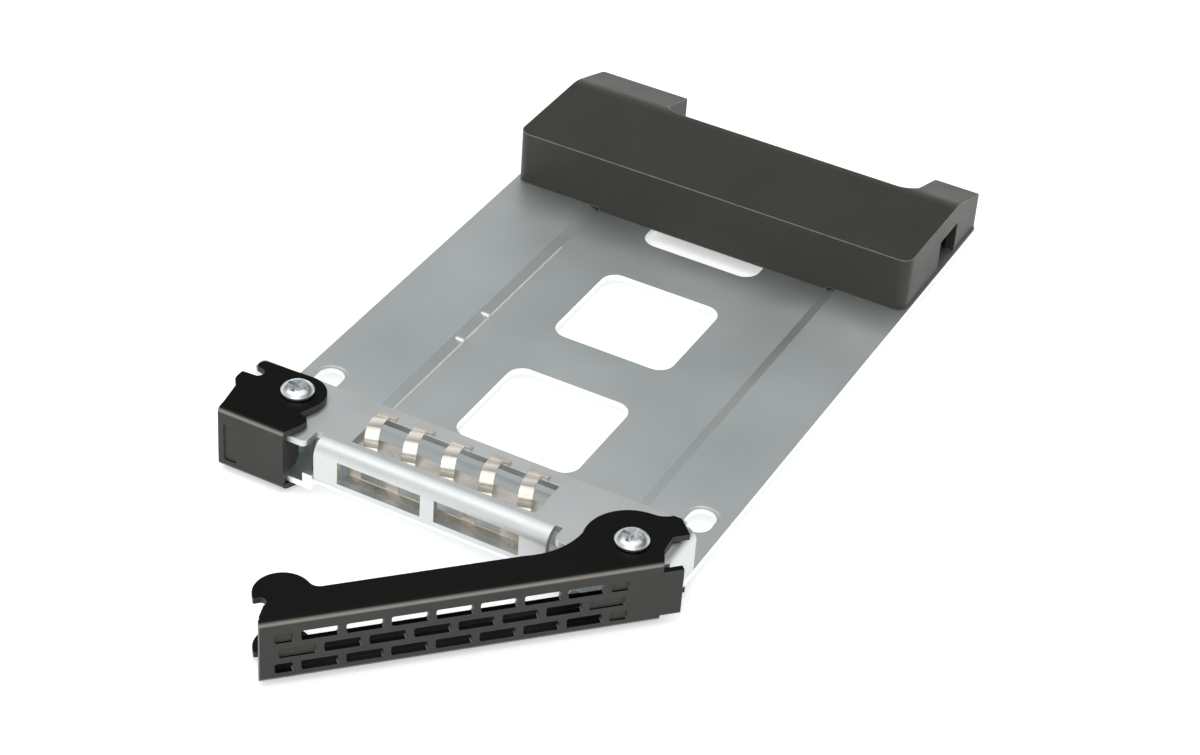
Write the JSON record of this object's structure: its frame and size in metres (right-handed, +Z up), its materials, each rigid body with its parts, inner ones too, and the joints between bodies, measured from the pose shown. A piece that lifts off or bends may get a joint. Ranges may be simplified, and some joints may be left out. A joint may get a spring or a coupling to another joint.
{
  "type": "hot swap drive caddy",
  "caption": "Folded steel drive tray with a black slotted ejector lever, a sprung latch button, shielding fingers and a black rear cover",
  "frame": {"origin": "on the tray's top face, midway across it, in the plane of the front wall's outer face", "axes": "+X to the right seen from the front, +Y into the bay along the slide, +Z up from the tray"},
  "size_m": [0.0732, 0.1523, 0.0122],
  "materials": {
    "tray_steel": "satin galvanised sheet",
    "spring_steel": "bright rolled spring strip",
    "black_steel": "fine black powder coat",
    "black_plastic": "satin moulded",
    "zinc_steel": "bright zinc plate"
  },
  "bodies": {
    "tray": {"tray_plate": "tray_steel", "front_bracket": "tray_steel", "shield_fingers": "spring_steel", "button_return_spring": "spring_steel", "rear_cover": "black_plastic", "lever_pivot_post": "zinc_steel", "button_pivot_post": "zinc_steel", "lever_pivot_screw": "zinc_steel", "button_pivot_screw": "zinc_steel", "cover_screw_left": "zinc_steel", "cover_screw_right": "zinc_steel"},
    "lever": {"ejector_lever": "black_steel"},
    "button": {"latch_button": "black_steel"}
  },
  "joints": [
    {"name": "lever_pivot", "type": "hinge", "parent": "tray", "child": "lever", "pos_m": [0.02912, 0.00385, 0], "axis": [0, 0, 1], "range_deg": [-45.4, 0]},
    {"name": "button_pivot", "type": "hinge", "parent": "tray", "child": "button", "pos_m": [-0.02676, 0.00776, 0], "axis": [0, 0, 1], "range_deg": [-10, 0], "stiffness_Nm_per_rad": 0.05, "springref_deg": 5.73, "deforming": ["button_return_spring"]}
  ]
}
